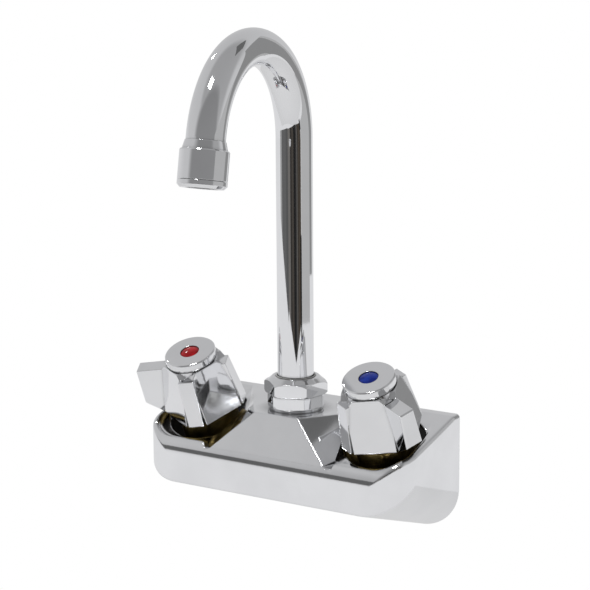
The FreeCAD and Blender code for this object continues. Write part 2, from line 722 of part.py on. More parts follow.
def make_lobe(turn):
    """Wide flat face between two ribs, with its upper corners cut off."""
    band = CAP_BAND + CAP_GROOVE_WIDTH
    face = face_of([vec(-LOBE_TOP_HALF_WIDTH, 0, -band), vec(LOBE_TOP_HALF_WIDTH, 0, -band),
                    vec(LOBE_HALF_WIDTH, 0, -LOBE_SHOULDER), vec(LOBE_HALF_WIDTH, 0, -SKIRT_DEPTH),
                    vec(-LOBE_HALF_WIDTH, 0, -SKIRT_DEPTH), vec(-LOBE_HALF_WIDTH, 0, -LOBE_SHOULDER)])
    lobe = face.extrude(BACK * (-2 * HUB_R))
    lean = math.atan2(LOBE_FACE_R - LOBE_FACE_TOP_R, SKIRT_DEPTH - band)
    plane_point = vec(0, -LOBE_FACE_TOP_R, -band)
    lobe = lobe.common(half_space(plane_point, vec(0, -math.cos(lean), math.sin(lean))))
    lobe.rotate(CENTRE, UP, turn)
    return lobe


def make_rib(turn):
    rib = tapered_block(RIB_HALF_WIDTH, RIB_HALF_WIDTH, RIB_TOP_R, RIB_TOP, RIB_R)
    rib.rotate(CENTRE, UP, turn)
    return rib


def make_blade():
    blade = tapered_block(BLADE_TOP_HALF_WIDTH, BLADE_HALF_WIDTH, BLADE_R, RIB_TOP, BLADE_R)
    side = face_of([vec(0, 0, 0), vec(0, -BLADE_R, 0), vec(0, -BLADE_R, -BLADE_TIP_BOTTOM),
                    vec(0, -RIB_R, -SKIRT_DEPTH), vec(0, 0, -SKIRT_DEPTH)])
    side.translate(RIGHT * -HUB_R)
    blade = blade.common(side.extrude(RIGHT * 2 * HUB_R))
    return round_edges(blade, BLADE_EDGE_R, lambda edge: edge.BoundBox.YMax < -BLADE_R + 0.1)


def handle_outside():
    band = CAP_BAND + CAP_GROOVE_WIDTH
    neck = CAP_R - CAP_GROOVE
    hub = turned([(0, 0), (CAP_R - CAP_EDGE_R, 0), (CAP_R, -CAP_EDGE_R), (CAP_R, -CAP_BAND),
                  (neck, -CAP_BAND), (neck, -band), (CAP_R, -band), (HUB_R, -SKIRT_DEPTH),
                  (0, -SKIRT_DEPTH)])
    for quarter in range(4):
        hub = hub.fuse(make_lobe(45 + 90 * quarter))
    for quarter in range(1, 4):
        hub = hub.fuse(make_rib(90 * quarter))
    return hub.fuse(make_blade())


def handle_room():
    """Air under the skirt, around the boss that takes the stem."""
    skirt = turned([(0, -HANDLE_CAVITY_DEPTH), (HANDLE_CAVITY_TOP_R, -HANDLE_CAVITY_DEPTH),
                    (HANDLE_CAVITY_R, -SKIRT_DEPTH - OVERRUN), (0, -SKIRT_DEPTH - OVERRUN)])
    return skirt.cut(rod(HANDLE_BOSS_R, -HANDLE_BOSS_BOTTOM, 0))


def stem_socket():
    bore = rod(STEM_R + FIT_GAP, -HANDLE_BOSS_BOTTOM - OVERRUN, -HANDLE_WEB_BOTTOM)
    flat = slab(STEM_R * 2, STEM_R, -SKIRT_DEPTH, 0)
    flat.translate(vec(0, -STEM_FLAT - FIT_GAP - STEM_R, 0))
    return bore.cut(flat)


def make_handle(side, angle):
    web_top = -HANDLE_WEB_BOTTOM + HANDLE_WEB
    body = handle_outside().cut(handle_room()).cut(stem_socket())
    body = body.cut(rod(BUTTON_R + FIT_GAP, -BUTTON_RECESS, OVERRUN))
    body = body.cut(rod(SCREW_HEAD_R + CLEAR_GAP, web_top, OVERRUN))
    body = body.cut(rod(SCREW_R + CLEAR_GAP, -HANDLE_BOSS_BOTTOM, OVERRUN))
    return on_handle(body.removeSplitter(), side, angle)


def on_handle(shape, side, angle):
    turned_shape = placed(shape, FreeCAD.Placement(vec(0, 0, HANDLE_TOP), FreeCAD.Rotation(UP, angle)))
    return along_valve(turned_shape, side)


def make_button(side, angle):
    rim = -CAP_EDGE_R
    dome_r = (BUTTON_R ** 2 + BUTTON_DOME ** 2) / (2 * BUTTON_DOME)
    plug = rod(BUTTON_R, -BUTTON_RECESS, rim)
    dome = Part.makeSphere(dome_r, vec(0, 0, rim + BUTTON_DOME - dome_r))
    cap = rod(BUTTON_R, rim, BUTTON_DOME + OVERRUN).common(dome)
    return on_handle(plug.fuse(cap), side, angle)


def make_handle_screw(side, angle):
    seat = -HANDLE_WEB_BOTTOM + HANDLE_WEB
    top = seat + SCREW_HEAD
    body = rod(SCREW_HEAD_R, seat, top).fuse(rod(SCREW_R, seat - SCREW_LENGTH, seat))
    for turn in (0, 90):
        slot = slab(SCREW_HEAD_R - 1.2, SCREW_DRIVE_WIDTH / 2, top - SCREW_DRIVE_DEPTH, top + OVERRUN)
        slot.rotate(CENTRE, UP, turn)
        body = body.cut(slot)
    return on_handle(body.removeSplitter(), side, angle)


# Files

def shared_parts():
    return {
        "body_shroud": make_body_shroud(),
        "waterway": make_waterway(),
        "spout_socket": make_spout_socket(),
        "spout_nut": make_spout_nut(),
        "spout_slip_ring": make_spout_slip_ring(),
        "spout_tube": make_spout_tube(),
        "spout_bushing": make_spout_bushing(),
        "spout_o_rings": make_spout_o_rings(),
        "aerator_housing": make_aerator_housing(),
        "aerator_washer": make_aerator_washer(),
        "aerator_ring": make_aerator_ring(),
        "aerator_insert": make_aerator_insert(),
        "aerator_screen": make_aerator_screen(),
    }


def valve_parts(name, side, angle):
    return {
        name + "_seat_seal": make_seat_seal(side),
        name + "_fixed_disc": make_fixed_disc(side),
        name + "_moving_disc": make_moving_disc(side),
        name + "_cartridge_body": make_cartridge_body(side),
        name + "_bonnet_nut": make_bonnet_nut(side),
        name + "_stem": make_stem(side, angle),
        name + "_stem_o_ring": make_stem_o_ring(side),
        name + "_handle": make_handle(side, angle),
        name + "_handle_screw": make_handle_screw(side, angle),
        name + "_button": make_button(side, angle),
    }


def build_faucet():
    parts = shared_parts()
    for name, side, angle in SIDES:
        parts.update(valve_parts(name, side, angle))
    os.makedirs("parts", exist_ok=True)
    for node, shape in parts.items():
        shape.exportStep("parts/" + node + ".step")


build_faucet()
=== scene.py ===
# %% [markdown]
# # A chromed wall faucet
# This lesson dresses a finished mechanical model of a two-handle faucet. The solids already have
# their true size and place, so the work here is finish: mirror chrome, brass, rubber, ceramic and
# coloured index buttons, then the studio that the chrome reflects.
#
# Everything is in metres. +X is to the user's right, +Y goes into the wall and +Z is up.

import math

import bpy
from mathutils import Matrix, Vector

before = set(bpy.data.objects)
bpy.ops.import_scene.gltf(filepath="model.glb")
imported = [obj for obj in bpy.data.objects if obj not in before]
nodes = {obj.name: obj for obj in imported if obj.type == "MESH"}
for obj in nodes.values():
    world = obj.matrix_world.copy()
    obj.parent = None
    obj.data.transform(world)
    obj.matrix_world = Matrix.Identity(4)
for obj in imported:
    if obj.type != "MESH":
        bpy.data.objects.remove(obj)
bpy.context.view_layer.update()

# %% [markdown]
# ## Helpers for shader nodes
# A material is a small network of nodes. These helpers start a material or a shared group, do a
# little arithmetic and mix two values. The recipes below then read from the surface texture to the
# finished shader.

# %% Helpers
# Which pair of A and B inputs the Mix node uses for each kind of value.
MIX_PAIRS = {"FLOAT": 0, "RGBA": 2}


def new_material(name):
    """Material with one Principled shader, returned with its tree and that shader."""
    material = bpy.data.materials.new(name)
    material.use_nodes = True
    tree = material.node_tree
    tree.nodes.clear()
    output = tree.nodes.new("ShaderNodeOutputMaterial")
    shader = tree.nodes.new("ShaderNodeBsdfPrincipled")
    tree.links.new(shader.outputs["BSDF"], output.inputs["Surface"])
    return material, tree, shader


def new_group(name, settings=()):
    """Node group with number inputs, given as names and usual values."""
    group = bpy.data.node_groups.new(name, "ShaderNodeTree")
    for setting, value in settings:
        socket = group.interface.new_socket(setting, in_out="INPUT", socket_type="NodeSocketFloat")
        socket.default_value = value
    return group


def add_output(group, name, kind="NodeSocketFloat"):
    group.interface.new_socket(name, in_out="OUTPUT", socket_type=kind)


def use_group(tree, group, **values):
    """Adds a shared group to a tree and sets its inputs."""
    node = tree.nodes.new("ShaderNodeGroup")
    node.node_tree = group
    for name, value in values.items():
        node.inputs[name].default_value = value
    return node


def math_node(tree, operation, *values):
    """Adds a math node; each value is a number or an output to link."""
    node = tree.nodes.new("ShaderNodeMath")
    node.operation = operation
    for socket, value in zip(node.inputs, values):
        if isinstance(value, (int, float)):
            socket.default_value = value
        else:
            tree.links.new(value, socket)
    return node.outputs["Value"]


def dot_with(tree, direction, vector):
    """Output that says how far a linked vector points in one fixed direction."""
    node = tree.nodes.new("ShaderNodeVectorMath")
    node.operation = "DOT_PRODUCT"
    node.inputs[1].default_value = direction
    tree.links.new(vector, node.inputs[0])
    return node.outputs["Value"]


def mix_by_mask(tree, mask, kind, base, other, socket):
    """Mixes what feeds the shader's socket with another value, by the mask."""
    mix = tree.nodes.new("ShaderNodeMix")
    mix.data_type = kind
    ends = [entry for entry in mix.inputs if entry.name in ("A", "B")]
    first = 2 * MIX_PAIRS[kind]
    tree.links.new(mask, mix.inputs["Factor"])
    tree.links.new(base, ends[first])
    ends[first + 1].default_value = other
    result = next(entry for entry in mix.outputs if entry.enabled)
    tree.links.new(result, socket)


def mix_shaders(tree, factor, first, second, output):
    """Sends a mix of two shaders to the output node; the factor brings in the second one."""
    mix = tree.nodes.new("ShaderNodeMixShader")
    tree.links.new(factor, mix.inputs["Fac"])
    tree.links.new(first, mix.inputs[1])
    tree.links.new(second, mix.inputs[2])
    tree.links.new(mix.outputs["Shader"], output.inputs["Surface"])


print("helpers ready")

# %% [markdown]
# ## Shared effect: a surface that is never quite even
# Polished and cast surfaces vary a little from place to place. One broad noise gives that drift.
# The group returns it as a mask for mixing two close colours, and as a value between two limits,
# which a material uses for its roughness.

# %% Node group for uneven surfaces
# The part of the noise that is spread over the whole range of values.
NOISE_LOW = 0.3
NOISE_HIGH = 0.7


def make_uneven_group():
    group = new_group("uneven surface", (("Scale", 60.0), ("Low", 0.03), ("High", 0.08)))
    add_output(group, "Mask")
    add_output(group, "Value")
    links = group.links
    inside = group.nodes.new("NodeGroupInput")
    outside = group.nodes.new("NodeGroupOutput")
    place = group.nodes.new("ShaderNodeTexCoord")
    broad = group.nodes.new("ShaderNodeTexNoise")
    broad.inputs["Detail"].default_value = 3.0
    broad.inputs["Roughness"].default_value = 0.55
    links.new(place.outputs["Object"], broad.inputs["Vector"])
    links.new(inside.outputs["Scale"], broad.inputs["Scale"])
    spread = group.nodes.new("ShaderNodeMapRange")
    spread.inputs["From Min"].default_value = NOISE_LOW
    spread.inputs["From Max"].default_value = NOISE_HIGH
    links.new(broad.outputs["Fac"], spread.inputs["Value"])
    links.new(inside.outputs["Low"], spread.inputs["To Min"])
    links.new(inside.outputs["High"], spread.inputs["To Max"])
    links.new(broad.outputs["Fac"], outside.inputs["Mask"])
    links.new(spread.outputs["Result"], outside.inputs["Value"])
    return group


uneven = make_uneven_group()
print("group:", uneven.name)

# %% [markdown]
# ## Shared effect: worked relief
# Castings are pebbled, rubber is faintly grained and even chrome follows the hand that buffed it.
# A bump turns a noise into small slopes. It starts from the normal that it is given, so that it can
# lie over an edge that a material has already softened.

# %% Node group for relief
def make_relief_group():
    group = new_group("worked relief", (("Scale", 300.0), ("Depth", 0.00002), ("Strength", 0.2)))
    edge = group.interface.new_socket("Edge", in_out="INPUT", socket_type="NodeSocketVector")
    edge.hide_value = True
    add_output(group, "Normal", "NodeSocketVector")
    links = group.links
    inside = group.nodes.new("NodeGroupInput")
    outside = group.nodes.new("NodeGroupOutput")
    place = group.nodes.new("ShaderNodeTexCoord")
    grain = group.nodes.new("ShaderNodeTexNoise")
    grain.inputs["Detail"].default_value = 4.0
    grain.inputs["Roughness"].default_value = 0.6
    bump = group.nodes.new("ShaderNodeBump")
    links.new(place.outputs["Object"], grain.inputs["Vector"])
    links.new(inside.outputs["Scale"], grain.inputs["Scale"])
    links.new(grain.outputs["Fac"], bump.inputs["Height"])
    links.new(inside.outputs["Depth"], bump.inputs["Distance"])
    links.new(inside.outputs["Strength"], bump.inputs["Strength"])
    links.new(inside.outputs["Edge"], bump.inputs["Normal"])
    links.new(bump.outputs["Normal"], outside.inputs["Normal"])
    return group


relief = make_relief_group()
print("group:", relief.name)

# %% [markdown]
# ## One recipe for every finish
# Each finish needs the same five things: two close colours, painted shade that darkens crevices
# where parts meet, a range of roughness, a relief, and edges that are rounded in the light as
# buffing rounds them. What makes chrome chrome and rubber rubber is only how large those values are.

# %% Build a finish
# Painted shade: how far from a crevice the colours are darkened, and with how many samples.
PAINTED_SHADE_REACH = 0.0015
PAINTED_SHADE_SAMPLES = 4
EDGE_SAMPLES = 6
# Where on the mask the dark colour ends and the light one begins.
DARK_UP_TO = 0.35
LIGHT_FROM = 0.65


def make_finish(name, light, dark, rough, metal, grain, depth, edge=0.0003, scale=45.0,
                reach=PAINTED_SHADE_REACH):
    """Finish with two colours, a roughness range and a relief on softened edges.

    Grain and scale say how fine the noises are, in features per metre. Depth, edge and reach are
    lengths in metres; reach is how far the painted shade in crevices spreads.
    """
    material, tree, shader = new_material(name)
    links = tree.links
    surface = use_group(tree, uneven, Scale=scale, Low=rough[0], High=rough[1])
    colours = tree.nodes.new("ShaderNodeValToRGB")
    ends = ((DARK_UP_TO, dark), (LIGHT_FROM, light))
    for element, (place, colour) in zip(colours.color_ramp.elements, ends):
        element.position = place
        element.color = (*colour, 1.0)
    bevel = tree.nodes.new("ShaderNodeBevel")
    bevel.samples = EDGE_SAMPLES
    bevel.inputs["Radius"].default_value = edge
    worked = use_group(tree, relief, Scale=grain, Depth=depth)
    # Painted shade: an occlusion node darkens the colours in crevices and where parts meet.
    painted_shade = tree.nodes.new("ShaderNodeAmbientOcclusion")
    painted_shade.samples = PAINTED_SHADE_SAMPLES
    painted_shade.inputs["Distance"].default_value = reach
    links.new(surface.outputs["Mask"], colours.inputs["Fac"])
    links.new(colours.outputs["Color"], painted_shade.inputs["Color"])
    links.new(painted_shade.outputs["Color"], shader.inputs["Base Color"])
    links.new(surface.outputs["Value"], shader.inputs["Roughness"])
    links.new(bevel.outputs["Normal"], worked.inputs["Edge"])
    links.new(worked.outputs["Normal"], shader.inputs["Normal"])
    shader.inputs["Metallic"].default_value = metal
    return material, shader


print("recipe ready, crevices darken over", PAINTED_SHADE_REACH, "m")

# %% [markdown]
# ## Chrome
# Chrome plate is a cool, slightly dark mirror. On a real faucet the tube is the most even, while
# cast pieces have been buffed by hand and ripple a little, so the castings get a deeper relief. The
# two wells in the cover are deep, so the painted shade in its crevices reaches further.

# %% Chrome finishes
CHROME_LIGHT = (0.93, 0.935, 0.95)
CHROME_BUFFED = (0.885, 0.89, 0.905)
# How far the painted shade in the cover's deep wells reaches.
WELL_SHADE_REACH = 0.007

chrome_tube, _ = make_finish("chrome on drawn tube", CHROME_LIGHT, (0.90, 0.905, 0.92),
                             rough=(0.02, 0.05), metal=1.0, grain=25.0, depth=0.00002)
chrome_cast, cast_shader = make_finish("chrome on castings", CHROME_LIGHT, CHROME_BUFFED,
                                       rough=(0.025, 0.07), metal=1.0, grain=110.0, depth=0.00009,
                                       edge=0.0006)
chrome_turned, _ = make_finish("chrome on turned parts", (0.92, 0.925, 0.94), (0.87, 0.875, 0.89),
                               rough=(0.02, 0.06), metal=1.0, grain=60.0, depth=0.00002, edge=0.0004)
chrome_cover, cover_shader = make_finish("chrome on the cover", CHROME_LIGHT, CHROME_BUFFED,
                                         rough=(0.025, 0.07), metal=1.0, grain=40.0, depth=0.00004,
                                         edge=0.0012, reach=WELL_SHADE_REACH)
for finish in (chrome_tube, chrome_cast, chrome_turned, chrome_cover):
    print("finish:", finish.name)

# %% [markdown]
# ## Bare insides
# Plating only reaches the outside of the cover and the handles. Inside, the castings are dull and
# unplated, and painted shade makes them near black. A face of the cover is bare and shaded when it
# lies lower than the sunk floors and either looks inwards, or looks up from the bottom. The back edge
# stays bright. A face of a handle is bare and shaded when it looks down its valve into the cover.

# %% Node groups for bare faces
VALVE_AXIS = (0.0, -0.40737, 0.91326)
# Height of the sunk floors, measured along the valve axis.
FLOOR_LEVEL = 0.0299
# A face that looks up from below this height belongs to the bottom.
BOTTOM_LEVEL = 0.004
# A face further back than this belongs to the back edge.
BACK_EDGE = -0.0003
# How squarely a face has to look inwards, or down its valve, before it counts as bare.
FACES_IN = 0.3
FACES_DOWN = 0.5
# Near-black colour of the bare faces: dull casting, darkened as painted shade.
BARE_PAINTED_SHADE_COLOUR = (0.035, 0.031, 0.026, 1.0)
BARE_ROUGHNESS = 0.7


def make_inside_group():
    """Mask for the inner faces of the cover."""
    group = new_group("inside of the cover")
    add_output(group, "Mask")
    links = group.links
    outside = group.nodes.new("NodeGroupOutput")
    place = group.nodes.new("ShaderNodeTexCoord")
    face = group.nodes.new("ShaderNodeNewGeometry")
    where = group.nodes.new("ShaderNodeSeparateXYZ")
    looks = group.nodes.new("ShaderNodeSeparateXYZ")
    links.new(place.outputs["Object"], where.inputs["Vector"])
    links.new(face.outputs["True Normal"], looks.inputs["Vector"])
    rise = dot_with(group, VALVE_AXIS, place.outputs["Object"])
    side = math_node(group, "SIGN", where.outputs["X"])
    outward = math_node(group, "MULTIPLY", side, looks.outputs["X"])
    inward = math_node(group, "MULTIPLY", outward, -1.0)
    inward = math_node(group, "MAXIMUM", inward, looks.outputs["Y"])
    is_wall = math_node(group, "GREATER_THAN", inward, FACES_IN)
    is_upward = math_node(group, "GREATER_THAN", looks.outputs["Z"], FACES_IN)
    is_low = math_node(group, "LESS_THAN", where.outputs["Z"], BOTTOM_LEVEL)
    is_bottom = math_node(group, "MULTIPLY", is_upward, is_low)
    is_inner = math_node(group, "MAXIMUM", is_wall, is_bottom)
    is_under = math_node(group, "LESS_THAN", rise, FLOOR_LEVEL)
    is_in_front = math_node(group, "LESS_THAN", where.outputs["Y"], BACK_EDGE)
    is_hidden = math_node(group, "MULTIPLY", is_under, is_in_front)
    links.new(math_node(group, "MULTIPLY", is_inner, is_hidden), outside.inputs["Mask"])
    return group


def make_underside_group():
    """Mask for faces that look back down the tilted valve axis."""
    group = new_group("underside of a handle")
    add_output(group, "Mask")
    outside = group.nodes.new("NodeGroupOutput")
    face = group.nodes.new("ShaderNodeNewGeometry")
    down = dot_with(group, [-value for value in VALVE_AXIS], face.outputs["True Normal"])
    group.links.new(math_node(group, "GREATER_THAN", down, FACES_DOWN), outside.inputs["Mask"])
    return group


def leave_bare_in_painted_shade(material, shader, group):
    """Turns the masked faces from chrome into dull casting, made near black as painted shade."""
    tree = material.node_tree
    mask = use_group(tree, group).outputs["Mask"]
    for name, kind, value in (("Base Color", "RGBA", BARE_PAINTED_SHADE_COLOUR), ("Roughness", "FLOAT", BARE_ROUGHNESS)):
        socket = shader.inputs[name]
        mix_by_mask(tree, mask, kind, socket.links[0].from_socket, value, socket)
    tree.links.new(math_node(tree, "SUBTRACT", 1.0, mask), shader.inputs["Metallic"])


# Painted shade on the inside of the cover and under the handles.
leave_bare_in_painted_shade(chrome_cover, cover_shader, make_inside_group())
leave_bare_in_painted_shade(chrome_cast, cast_shader, make_underside_group())
print("bare insides:", chrome_cover.name, "and", chrome_cast.name)

# %% [markdown]
# ## Brass, steel and ceramic
# Under the plate the faucet is brass. The valve parts are darker and browner than fresh metal.
# The screen and the screws are plain stainless steel, and the discs that do the sealing are pale
# lapped ceramic.

# %% Inner metals and ceramic
brass_cast, _ = make_finish("cast brass", (0.44, 0.33, 0.12), (0.14, 0.10, 0.035),
                            rough=(0.28, 0.5), metal=1.0, grain=900.0, depth=0.00012, scale=90.0)
brass_machined, _ = make_finish("machined brass", (0.52, 0.40, 0.16), (0.28, 0.20, 0.07),
                                rough=(0.16, 0.32), metal=1.0, grain=500.0, depth=0.00003, scale=120.0)
steel, _ = make_finish("stainless steel", (0.66, 0.66, 0.67), (0.54, 0.54, 0.55),
                       rough=(0.18, 0.34), metal=1.0, grain=700.0, depth=0.00002, scale=150.0)
ceramic, _ = make_finish("lapped ceramic", (0.86, 0.84, 0.78), (0.80, 0.78, 0.71),
                         rough=(0.12, 0.22), metal=0.0, grain=1200.0, depth=0.00001, scale=200.0)
for finish in (brass_cast, brass_machined, steel, ceramic):
    print("finish:", finish.name)

# %% [markdown]
# ## Rubber, white plastic and index buttons
# Seals are matt black rubber. The flow straightener and the slip ring are off-white acetal. The two
# index buttons are coloured plastic under a thin clear skin, which a coat gives.

# %% Soft and coloured finishes
rubber, _ = make_finish("black rubber", (0.035, 0.035, 0.037), (0.018, 0.018, 0.02),
                        rough=(0.55, 0.8), metal=0.0, grain=1500.0, depth=0.00004, scale=160.0)
acetal, _ = make_finish("white acetal", (0.82, 0.82, 0.80), (0.74, 0.74, 0.72),
                        rough=(0.3, 0.45), metal=0.0, grain=900.0, depth=0.00002, scale=120.0)
red_button, red_shader = make_finish("red index button", (0.60, 0.008, 0.014), (0.32, 0.003, 0.006),
                                     rough=(0.12, 0.2), metal=0.0, grain=600.0, depth=0.00002,
                                     scale=300.0)
blue_button, blue_shader = make_finish("blue index button", (0.012, 0.045, 0.40), (0.006, 0.02, 0.24),
                                       rough=(0.12, 0.2), metal=0.0, grain=600.0, depth=0.00002,
                                       scale=300.0)
for shader in (red_shader, blue_shader):
    shader.inputs["Coat Weight"].default_value = 0.2
    shader.inputs["Coat Roughness"].default_value = 0.03
    shader.inputs["Specular IOR Level"].default_value = 0.15
for finish in (rubber, acetal, red_button, blue_button):
    print("finish:", finish.name)

# %% [markdown]
# ## Dress the solids
# Every solid keeps its shape and gets the finish of the real piece.

# %% Match finishes to pieces
finishes = {
    chrome_tube: ["spout_tube"],
    chrome_cover: ["body_shroud"],
    chrome_cast: ["hot_handle", "cold_handle"],
    chrome_turned: ["spout_socket", "spout_nut", "aerator_housing", "aerator_ring"],
    brass_cast: ["waterway"],
    brass_machined: ["spout_bushing", "hot_bonnet_nut", "cold_bonnet_nut", "hot_cartridge_body",
                     "cold_cartridge_body", "hot_stem", "cold_stem"],
    steel: ["aerator_screen", "hot_handle_screw", "cold_handle_screw"],
    ceramic: ["hot_fixed_disc", "hot_moving_disc", "cold_fixed_disc", "cold_moving_disc"],
    rubber: ["spout_o_rings", "aerator_washer", "hot_seat_seal", "cold_seat_seal",
             "hot_stem_o_ring", "cold_stem_o_ring"],
    acetal: ["aerator_insert", "spout_slip_ring"],
    red_button: ["hot_button"],
    blue_button: ["cold_button"],
}
for material, names in finishes.items():
    for name in names:
        mesh = nodes[name].data
        mesh.materials.clear()
        mesh.materials.append(material)
undressed = sorted(set(nodes) - {name for names in finishes.values() for name in names})
print("undressed:", undressed)

# %% [markdown]
# ## The studio
# Chrome shows its surroundings more than itself, so the studio is half of the finish. The room is
# pale, and a little lighter below than above. Above the horizon its camera side is dimmer, and so
# is a patch high up on the right. The camera itself sees plain white.

# %% Room light and background
# Height from straight down to straight up as 0 to 1, with the grey tone there.
ROOM_STOPS = ((0.0, 0.70), (0.41, 0.74), (0.50, 0.65), (0.56, 0.56), (0.75, 0.52), (1.0, 0.48))
# How much stronger the room's blue is than its red and green.
ROOM_BLUE = 1.01
# Degrees that the camera stands to the right of straight in front.
CAMERA_TURN = 32.92
CAMERA_SIDE = (math.sin(math.radians(CAMERA_TURN)), -math.cos(math.radians(CAMERA_TURN)), 0.0)
UPWARDS = (0.0, 0.0, 1.0)
HIGH_SIDE = (0.50, -0.29, 0.82)
# The cosine at which each shade starts, the one at which it is full, and the factor it dims to.
CAMERA_SIDE_SHADE = (0.25, 0.6, 0.46)
HIGH_SIDE_SHADE = (0.40, 0.65, 0.70)
HORIZON_SHADE = (-0.05, 0.04, 0.0)


def make_ramp(tree, stops):
    """Grey colour ramp with the given places and tones."""
    ramp = tree.nodes.new("ShaderNodeValToRGB")
    elements = ramp.color_ramp.elements
    while len(elements) < len(stops):
        elements.new(0.5)
    for element, (place, grey) in zip(elements, stops):
        element.position = place
        element.color = (grey, grey, grey * ROOM_BLUE, 1.0)
    return ramp


def make_shade(tree, direction, towards, shade):
    """Factor that falls from 1 to the shade as the view turns towards one direction."""
    start, end, darkest = shade
    fade = tree.nodes.new("ShaderNodeMapRange")
    fade.interpolation_type = "SMOOTHSTEP"
    fade.inputs["From Min"].default_value = start
    fade.inputs["From Max"].default_value = end
    fade.inputs["To Min"].default_value = 1.0
    fade.inputs["To Max"].default_value = darkest
    tree.links.new(dot_with(tree, towards, direction), fade.inputs["Value"])
    return fade.outputs["Result"]


def make_room():
    world = bpy.data.worlds.new("pale room")
    bpy.context.scene.world = world
    world.use_nodes = True
    tree = world.node_tree
    tree.nodes.clear()
    links = tree.links
    output = tree.nodes.new("ShaderNodeOutputWorld")
    direction = tree.nodes.new("ShaderNodeTexCoord").outputs["Generated"]
    split = tree.nodes.new("ShaderNodeSeparateXYZ")
    links.new(direction, split.inputs["Vector"])
    height = tree.nodes.new("ShaderNodeMapRange")
    height.inputs["From Min"].default_value = -1.0
    links.new(split.outputs["Z"], height.inputs["Value"])
    ramp = make_ramp(tree, ROOM_STOPS)
    links.new(height.outputs["Result"], ramp.inputs["Fac"])
    camera_shade = make_shade(tree, direction, CAMERA_SIDE, CAMERA_SIDE_SHADE)
    high_shade = make_shade(tree, direction, HIGH_SIDE, HIGH_SIDE_SHADE)
    # Below the horizon the camera's side of the room stays at its full tone.
    below = make_shade(tree, direction, UPWARDS, HORIZON_SHADE)
    camera_shade = math_node(tree, "MAXIMUM", camera_shade, below)
    shade = math_node(tree, "MINIMUM", camera_shade, high_shade)
    room = tree.nodes.new("ShaderNodeBackground")
    links.new(ramp.outputs["Color"], room.inputs["Color"])
    links.new(shade, room.inputs["Strength"])
    white = tree.nodes.new("ShaderNodeBackground")
    white.inputs["Color"].default_value = (1.0, 1.0, 1.0, 1.0)
    path = tree.nodes.new("ShaderNodeLightPath")
    mix_shaders(tree, path.outputs["Is Camera Ray"], room.outputs["Background"],
                white.outputs["Background"], output)


make_room()
print("room made with", len(ROOM_STOPS), "tones")

# %% [markdown]
# ## Floor
# The pale floor lies well below the faucet, because the real one hangs on a wall. It shows as
# plain white to the camera, and lit like any floor to everything else.

# %% Floor
FLOOR_HEIGHT = -1.2
FLOOR_HALF = 2.6
FLOOR_GREY = 0.8
FLOOR_GLOW = 0.30
FLOOR_ROUGHNESS = 0.9


def set_glow(shader, colour):
    shader.inputs["Emission Color"].default_value = (*colour, 1.0)
    shader.inputs["Emission Strength"].default_value = 1.0


def output_of(tree):
    return next(node for node in tree.nodes if node.type == "OUTPUT_MATERIAL")


def make_white_to_camera(name):
    """Pale, faintly glowing material that the camera alone sees as plain white."""
    material, tree, shader = new_material(name)
    shader.inputs["Base Color"].default_value = (FLOOR_GREY, FLOOR_GREY, FLOOR_GREY, 1.0)
    shader.inputs["Roughness"].default_value = FLOOR_ROUGHNESS
    set_glow(shader, (FLOOR_GLOW, FLOOR_GLOW, FLOOR_GLOW))
    white = tree.nodes.new("ShaderNodeEmission")
    path = tree.nodes.new("ShaderNodeLightPath")
    mix_shaders(tree, path.outputs["Is Camera Ray"], shader.outputs["BSDF"],
                white.outputs["Emission"], output_of(tree))
    return material


def make_staged(name, points, faces, material):
    """Mesh that belongs to the studio and not to the faucet."""
    mesh = bpy.data.meshes.new(name)
    mesh.from_pydata(points, [], faces)
    mesh.materials.append(material)
    thing = bpy.data.objects.new(name, mesh)
    bpy.context.scene.collection.objects.link(thing)
    return thing


def make_square(name, middle, half, material):
    """Level square sheet round a middle point."""
    corners = [(middle[0] + across * half, middle[1] + along * half, middle[2])
               for across, along in ((-1, -1), (1, -1), (1, 1), (-1, 1))]
    return make_staged(name, corners, [(0, 1, 2, 3)], material)


floor = make_square("floor", (0.0, 0.0, FLOOR_HEIGHT), FLOOR_HALF, make_white_to_camera("pale floor"))
print("made:", floor.name)

# %% [markdown]
# ## Screens that the chrome mirrors
# Upright pieces mirror what stands round them as long bands, and those bands make a tube look round
# and bright. Each screen is a piece of an upright cylinder round the faucet. It is hidden from the
# camera and casts no shadow, so only the reflections show it. The dark stripes in the middle end in
# a point below, and the riser shows that point as a dark wedge above its nut.

# %% Screens
SCREEN_DISTANCE = 0.5
SCREEN_TOP = 0.12
# Degrees that one flat piece of a curved screen covers.
SCREEN_STEP = 4
FEWEST_STEPS = 2
FAUCET_MIDDLE = (0.0, -0.03)
POINT_ANGLE = 5.0
# A lower edge is its height at the point angle, and its rise per degree to both sides of it.
POINTED_EDGE = (-0.065, 0.0009)
LEFT_EDGE = (-0.096, 0.00137)
